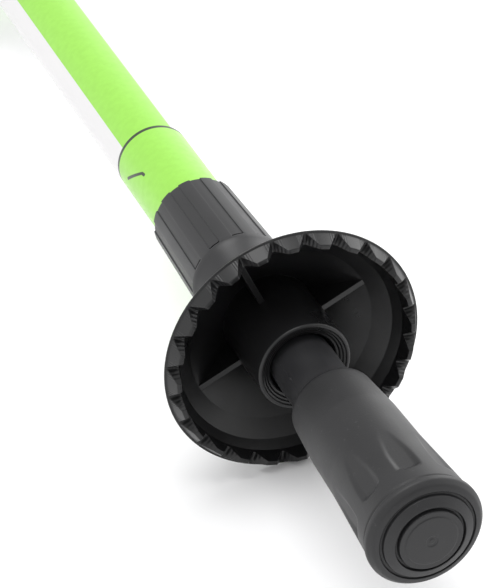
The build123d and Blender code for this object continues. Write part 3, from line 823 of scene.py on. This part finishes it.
# %% Seam and gate mark
SEAM_ANGLE, SEAM_START, SEAM_END = 154.0, 7.2, 18.6
seam_columns = []
for station in np.linspace(SEAM_START, SEAM_END, 24):
    fade = min(1.0, (station - SEAM_START) / 0.6, (SEAM_END - station) / 0.6)
    nib = 0.22 * max(0.0, 1 - ((station - 12.0) / 0.5) ** 2)
    seam_columns.append([(side * (0.11 + nib), NECK_R - 0.1 + height * (0.1 + fade * 0.07 + nib), station)
                         for side, height in ((-1, 0), (-0.6, 0.75), (0, 1), (0.6, 0.75), (1, 0))])
seam = sector("neck_seam", seam_columns)
run_tree(seam, around_tree, Count=1, Start_angle=radians(SEAM_ANGLE - 90), Material=ferrule_plastic)
seam_work = bmesh.new()
seam_work.from_mesh(seam.data)
bmesh.ops.holes_fill(seam_work, edges=[edge for edge in seam_work.edges if edge.is_boundary])
seam_work.to_mesh(seam.data)
seam_work.free()
face_outwards(seam)
hand_over(seam, "lower_section", "ferrule")

# %% [markdown]
# ## Rubber foot
# The foot is soft rubber, so nothing on it is sharp: its outline is eased at every corner, and the
# eight pockets sink in with rounded edges. A sector is one pocket wide, with columns about a degree
# and a half apart, and the pocket is a smooth dip in the radius.


# %% Eased outlines
def eased_outline(corners, step=0.5):
    """Round each (radius, station, easing) corner with an arc and add points on long runs."""
    points = []
    count = len(corners)
    for k, (radius, station, easing) in enumerate(corners):
        here = Vector((radius, station))
        before = Vector(corners[k - 1][:2]) - here
        after = Vector(corners[(k + 1) % count][:2]) - here
        if easing == 0 or min(before.length, after.length) < 1e-6:
            points.append(here)
            continue
        reach = min(easing * tan((pi - before.angle(after)) / 2), 0.49 * before.length,
                    0.49 * after.length)
        enter, leave = here + before.normalized() * reach, here + after.normalized() * reach
        for share in np.linspace(0, 1, 5):
            points.append(enter.lerp(here, share).lerp(here.lerp(leave, share), share))
    filled = []
    for k, here in enumerate(points):
        there = points[(k + 1) % len(points)]
        parts = max(1, int((there - here).length / step))
        filled += [tuple(here.lerp(there, part / parts)) for part in range(parts)]
    return filled


def smooth_step(value, low, high):
    """0 to 1 as the value goes from low to high, with soft ends."""
    share = min(1.0, max(0.0, (value - low) / (high - low)))
    return share * share * (3 - 2 * share)


# %% Foot outline
SOCKET_R, FOOT_TOP, FOOT_END, SOLE_RISE = 6.18, 19.0, 61.0, 1.7
BOOT_R, WAIST_R, FLARE_R, LIP_R = 8.18, 9.08, 10.58, 10.98
FLARE_END = FOOT_END - 3.3
OUTER_GROOVE = (8.73, 0.35, FOOT_END + 0.15, 0.6)  # radius, half width, station of its crests, depth
INNER_GROOVE = (6.28, 0.35, FOOT_END + SOLE_RISE - 0.4, 0.9)


def ring_groove(groove):
    """Corners of a ring groove in the sole, from its outer wall to its inner one."""
    radius, half, crest, depth = groove
    return [(radius + half, crest - 0.15, 0.12), (radius + half - 0.05, crest - depth, 0.25),
            (radius - half + 0.05, crest - depth, 0.25), (radius - half, crest + 0.15, 0.15)]


foot_corners = [
    (SOCKET_R, FOOT_TOP, 0.4), (BOOT_R, FOOT_TOP, 1.9), (BOOT_R + 0.5, FOOT_TOP + 6, 20),
    (WAIST_R, FOOT_TOP + 11, 20), (WAIST_R + 0.3, FOOT_TOP + 21, 25), (FLARE_R, FLARE_END, 0.3),
    (FLARE_R - 0.25, FLARE_END + 0.45, 0.3), (LIP_R, FOOT_END - 2.3, 0.4), (LIP_R, FOOT_END - 1.4, 0.9),
    (LIP_R - 0.8, FOOT_END - 0.4, 1.0), *ring_groove(OUTER_GROOVE), *ring_groove(INNER_GROOVE),
    (5.0, FOOT_END + SOLE_RISE - 0.28, 0.4), (4.8, FOOT_END + SOLE_RISE - 0.12, 0.3),
    (1.2, FOOT_END + SOLE_RISE, 0.2), (1.0, FOOT_END + SOLE_RISE - 0.1, 0.1),
    (0.6, FOOT_END + SOLE_RISE - 0.1, 0.1), (0.4, FOOT_END + SOLE_RISE, 0.1),
    (0, FOOT_END + SOLE_RISE, 0), (0, 49.5, 0), (5.2, 49.5, 0.3), (5.2, 38.5, 0), (SOCKET_R, 31.5, 0)]
foot_outline = eased_outline(foot_corners)
print("foot outline points:", len(foot_outline))

# %% Foot with pockets
POCKETS, POCKET_ANGLE, POCKET_WIDTH, POCKET_LENGTH, POCKET_FLOOR = 8, 94.5, 4.1, 12.5, WAIST_R + 0.42
POCKET_END = FLARE_END - 3.5


def pocket_column(angle):
    """Outline at an angle from the pocket's middle, with the pocket sunk in."""
    points = []
    for radius, station in foot_outline:
        across = radius * sin(radians(angle))
        share = (station - (POCKET_END - POCKET_LENGTH)) / POCKET_LENGTH
        half_width = POCKET_WIDTH / 2 * (0.55 + 0.45 * smooth_step(share, 0.0, 0.7))
        edge = min(half_width - abs(across), (POCKET_END - station) - 0.12 * across ** 2,
                   (station - POCKET_END + POCKET_LENGTH) * 0.5)
        sunk = smooth_step(edge, -0.45, 0.55)
        floor_here = POCKET_FLOOR / cos(radians(angle))
        if radius > floor_here:
            radius -= sunk * (radius - floor_here)
        points.append((radius * cos(radians(angle)), radius * sin(radians(angle)), station))
    return points


half_pocket = 180 / POCKETS
foot = sector("walking_foot", [pocket_column(angle) for angle in np.linspace(-half_pocket, half_pocket, 33)])
run_tree(foot, around_tree, Count=POCKETS, Start_angle=radians(POCKET_ANGLE), Material=foot_rubber)
face_outwards(foot)
even_shading(foot, 50)
hand_over(foot, "rubber_foot", "foot_rubber", "boot")

# %% [markdown]
# ## Grip
# The grip lies at the far end of the pole. Its handle swells and narrows under the
# fingers; the sections of that shape are a table of half widths, joined by a smooth curve. Fine ribs
# cross it where palm and fingers hold. The head spreads over the top of the hand, and its nose rests
# flat on the floor.

# %% Section tables
HANDLE_R = 13.6
grip_start, grip_foot = (station / MM for station in station_span("grip_handle"))
head_top, head_foot = (station / MM for station in station_span("grip_head"))
handle_table = [  # share of the length, side and up-down half widths over HANDLE_R, drop
    (0.00, 2.6, 3.2, 0.0), (0.04, 2.4, 3.0, 0.0), (0.10, 0.6, 1.4, 0.4), (0.22, 0.9, 2.6, 0.9),
    (0.33, 0.4, 1.5, 0.5), (0.45, 1.1, 3.0, 1.1), (0.56, 0.6, 1.8, 0.6), (0.68, 1.3, 3.2, 1.2),
    (0.79, 0.8, 2.2, 0.8), (0.90, 1.8, 4.6, 2.0), (1.00, 3.4, 7.6, 3.2)]
NOSE_DROP = 4.5
nose_half = RIM.z / MM + 1.6 - NOSE_DROP
head_table = [  # share of the length, side and up-down half widths, drop
    (0.00, 17.0, 21.2, 3.2), (0.30, 18.6, (21.2 + nose_half) / 2 + 1, 3.85),
    (0.58, 18.8, nose_half, NOSE_DROP), (0.84, 16.8, nose_half - 3, 3.3), (1.00, 10.0, 11.9, 2.1)]


def smooth_sections(table, shares):
    """Side, rise and drop at each share: a cubic through the table's rows, with no overshoot."""
    table = np.array(table)
    steps = np.diff(table[:, 0])
    slopes = np.diff(table[:, 1:], axis=0) / steps[:, None]
    tangents = np.zeros_like(table[:, 1:])
    tangents[1:-1] = np.where(slopes[:-1] * slopes[1:] > 0, (slopes[:-1] + slopes[1:]) / 2, 0)
    tangents[0], tangents[-1] = slopes[0], slopes[-1]
    rows = []
    for share in shares:
        k = min(len(steps) - 1, max(0, int(np.searchsorted(table[:, 0], share)) - 1))
        u = (share - table[k, 0]) / steps[k]
        low, high = table[k, 1:], table[k + 1, 1:]
        rows.append((2 * u ** 3 - 3 * u ** 2 + 1) * low + (u ** 3 - 2 * u ** 2 + u) * steps[k] * tangents[k]
                    + (3 * u ** 2 - 2 * u ** 3) * high + (u ** 3 - u ** 2) * steps[k] * tangents[k + 1])
    return rows


# %% Handle
shares = np.linspace(0, 1, 270)
sections = smooth_sections(handle_table, shares)
handle_length = grip_foot - grip_start
GRIP_ANGLES, RIB_PITCH, RIB_DEPTH = 96, 2.9, 0.38
columns = []
for turn_index in range(GRIP_ANGLES):
    angle = 2 * pi * turn_index / GRIP_ANGLES
    hold = 0.35 + 0.65 * abs(sin(angle)) ** 2
    points = []
    for share, (side, rise, drop) in zip(shares, sections):
        zone = smooth_step(share, 0.10, 0.13) * (1 - smooth_step(share, 0.86, 0.89))
        rib_wave = 0.5 - 0.5 * cos(2 * pi * share * handle_length / RIB_PITCH)
        dip = RIB_DEPTH * zone * hold * rib_wave
        points.append(((HANDLE_R + side - dip) * cos(angle),
                       (HANDLE_R + rise - dip) * sin(angle) - drop, grip_foot - share * handle_length))
    points += [(UPPER_R * cos(angle), UPPER_R * sin(angle), station)
               for station in (grip_start, grip_foot - 1, grip_foot)]
    columns.append(points)
handle = sector("grip_handle_skin", columns, closed=True)
run_tree(handle, around_tree, Count=1, Material=grip_rubber)
face_outwards(handle)
even_shading(handle, 60)
hand_over(handle, "upper_section", "grip_rubber", "grip_handle")

# %% Head
head_length = head_foot - head_top
ROUND, INLAY_R, INLAY_DEPTH, INLAY_DROP = 2.5, 6.5, 1.2, 2.1
flat_share = 1 - ROUND / head_length
head_shares = list(np.linspace(0, 1, 60))
columns = []
for turn_index in range(GRIP_ANGLES):
    angle = 2 * pi * turn_index / GRIP_ANGLES
    points = [(0, -3.2, head_foot)]
    for share, (side, rise, drop) in zip(head_shares, smooth_sections(head_table, head_shares)):
        late = max(0.0, (share - flat_share) * head_length / ROUND)
        inward = ROUND * (1 - sqrt(max(0.0, 1 - late ** 2)))
        points.append(((side - inward) * cos(angle), (rise - inward) * sin(angle) - drop,
                       head_foot - share * head_length))
    for radius, depth in ((INLAY_R + 0.05, 0), (INLAY_R + 0.05, INLAY_DEPTH), (0, INLAY_DEPTH)):
        points.append((radius * cos(angle), radius * sin(angle) - INLAY_DROP, head_top + depth))
    columns.append([(x, max(y, -RIM.z / MM), station) for x, y, station in points])
head = sector("grip_head_skin", columns, closed=True)
run_tree(head, around_tree, Count=1, Material=head_plastic)
face_outwards(head)
even_shading(head, 40)
hand_over(head, "upper_section", "grip_head", "grip_head")

# %% Grip ring and inlay
ring_start, ring_end = (station / MM for station in station_span("grip_ring"))
ring_outline = [(UPPER_R, ring_start), (HANDLE_R, ring_start), (HANDLE_R, ring_end - 1.6),
                (HANDLE_R - 1.6, ring_end), (UPPER_R, ring_end)]
hand_over(turned("grip_ring_skin", ring_outline, collar_plastic, edge=0.3), "upper_section", "collar",
          "grip_ring")
inlay = turned("head_inlay_skin", [(0, head_top), (INLAY_R, head_top), (INLAY_R, head_top + INLAY_DEPTH),
                                   (0, head_top + INLAY_DEPTH)], inlay_plastic, edge=0.25)
inlay.data.transform(Matrix.Translation((0, 0, -INLAY_DROP * MM)))
hand_over(inlay, "upper_section", "inlay", "head_inlay")

# %% [markdown]
# ## Hidden lock parts
# Inside the tubes sit the twist locks: a plug, a threaded spindle, a taper nut and an expander
# sleeve at the top of each inner tube. Their CAD shapes are right as they are, and they stay out of
# sight, so they only need their finishes: pale nylon and steel.

# %% Lock finishes
for lock in ("middle", "lower"):
    for part, finish in (("plug", lock_plastic), ("spindle", steel), ("nut", lock_plastic),
                         ("sleeve", lock_plastic)):
        node = frame["nodes"][f"{lock}_{part}"]
        for slot in node.material_slots:
            slot.material = finish
        print(node.name, "->", finish.name)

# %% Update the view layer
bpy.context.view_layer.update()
